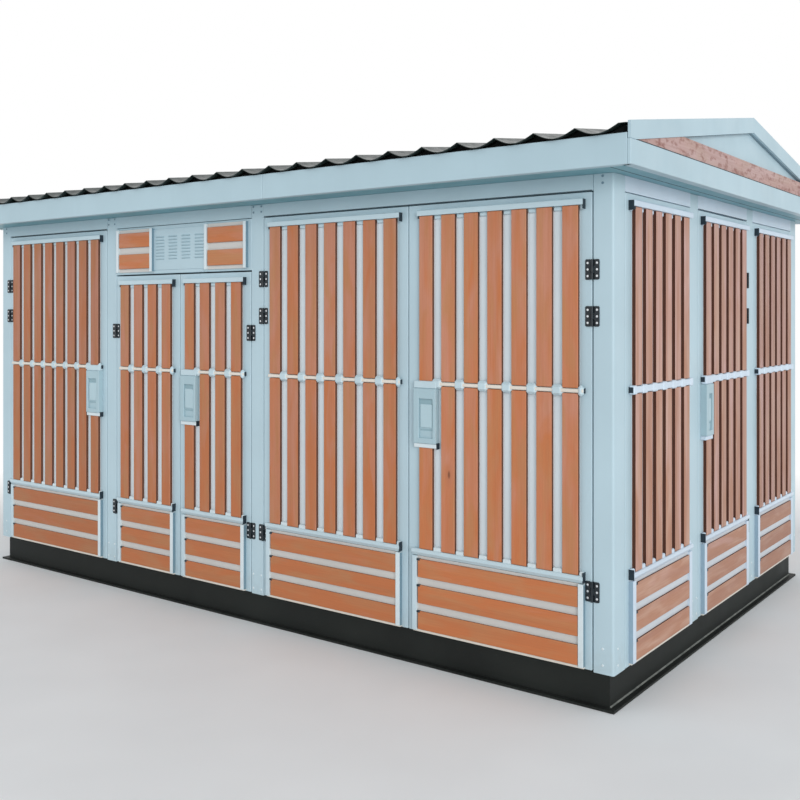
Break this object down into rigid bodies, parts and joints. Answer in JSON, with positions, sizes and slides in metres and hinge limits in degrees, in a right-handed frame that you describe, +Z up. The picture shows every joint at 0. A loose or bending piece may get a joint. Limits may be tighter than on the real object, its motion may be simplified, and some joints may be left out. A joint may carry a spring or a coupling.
{
  "type": "compact substation",
  "caption": "Box-type substation housing of pale steel clad in timber battens, with hinged doors, a louvred vent panel and a low gabled tile-profile roof on a black steel base.",
  "frame": {"origin": "middle of the base's underside", "axes": "+X along the long side towards the end with the door, -Y out of the long front with the doors, +Z up"},
  "size_m": [4.6, 3.04, 2.575],
  "materials": {
    "painted_steel": "satin light blue-grey powder coat",
    "timber": "oiled softwood battens, orange-brown",
    "black_steel": "matt black paint",
    "roof_sheet": "dark green-black coated sheet"
  },
  "bodies": {
    "housing": {"back_fascia": "painted_steel", "back_header": "painted_steel", "back_panel_1": "timber", "back_panel_2": "timber", "back_panel_3": "timber", "back_post_1": "painted_steel", "back_post_2": "painted_steel", "base_back": "black_steel", "base_front": "black_steel", "base_left": "black_steel", "base_right": "black_steel", "corner_post_back_left": "painted_steel", "corner_post_back_right": "painted_steel", "corner_post_front_left": "painted_steel", "corner_post_front_right": "painted_steel", "floor_plate": "black_steel", "front_fascia": "painted_steel", "front_header": "painted_steel", "front_post_1": "painted_steel", "front_post_2": "painted_steel", "left_bargeboard_back": "painted_steel", "left_bargeboard_front": "painted_steel", "left_fascia": "painted_steel", "left_gable_plank": "timber", "left_gable_sheet": "painted_steel", "left_header": "painted_steel", "left_panel_1": "timber", "left_panel_2": "timber", "left_panel_3": "timber", "left_post_1": "painted_steel", "left_post_2": "painted_steel", "ridge_cap": "roof_sheet", "right_bargeboard_back": "painted_steel", "right_bargeboard_front": "painted_steel", "right_fascia": "painted_steel", "right_gable_plank": "timber", "right_gable_sheet": "painted_steel", "right_header": "painted_steel", "right_panel_1": "timber", "right_panel_3": "timber", "right_post_1": "painted_steel", "right_post_2": "painted_steel", "roof_sheet_back": "roof_sheet", "roof_sheet_front": "roof_sheet", "soffit_ceiling": "painted_steel", "vent_panel": "painted_steel"},
    "single_door": {"single_door": "timber", "single_door_lock": "painted_steel"},
    "middle_door_left": {"middle_door_left": "timber"},
    "middle_door_right": {"middle_door_right": "timber", "middle_door_right_lock": "painted_steel"},
    "large_door_left": {"large_door_left": "timber"},
    "large_door_right": {"large_door_right": "timber", "large_door_right_lock": "painted_steel"},
    "end_door": {"end_door": "timber", "end_door_lock": "painted_steel"}
  },
  "joints": [
    {"name": "single_door_hinge", "type": "hinge", "parent": "housing", "child": "single_door", "pos_m": [-2.0575, -1.3265, 0.15], "axis": [0, 0, -1], "range_deg": [0, 90]},
    {"name": "middle_door_left_hinge", "type": "hinge", "parent": "housing", "child": "middle_door_left", "pos_m": [-0.9735, -1.3265, 0.15], "axis": [0, 0, -1], "range_deg": [0, 90]},
    {"name": "middle_door_right_hinge", "type": "hinge", "parent": "housing", "child": "middle_door_right", "pos_m": [0.1275, -1.3265, 0.15], "axis": [0, 0, 1], "range_deg": [0, 90]},
    {"name": "large_door_left_hinge", "type": "hinge", "parent": "housing", "child": "large_door_left", "pos_m": [0.2165, -1.3265, 0.15], "axis": [0, 0, -1], "range_deg": [0, 90]},
    {"name": "large_door_right_hinge", "type": "hinge", "parent": "housing", "child": "large_door_right", "pos_m": [2.0575, -1.3265, 0.15], "axis": [0, 0, 1], "range_deg": [0, 90]},
    {"name": "end_door_hinge", "type": "hinge", "parent": "housing", "child": "end_door", "pos_m": [2.1565, 0.3675, 0.15], "axis": [0, 0, 1], "range_deg": [0, 90]}
  ]
}
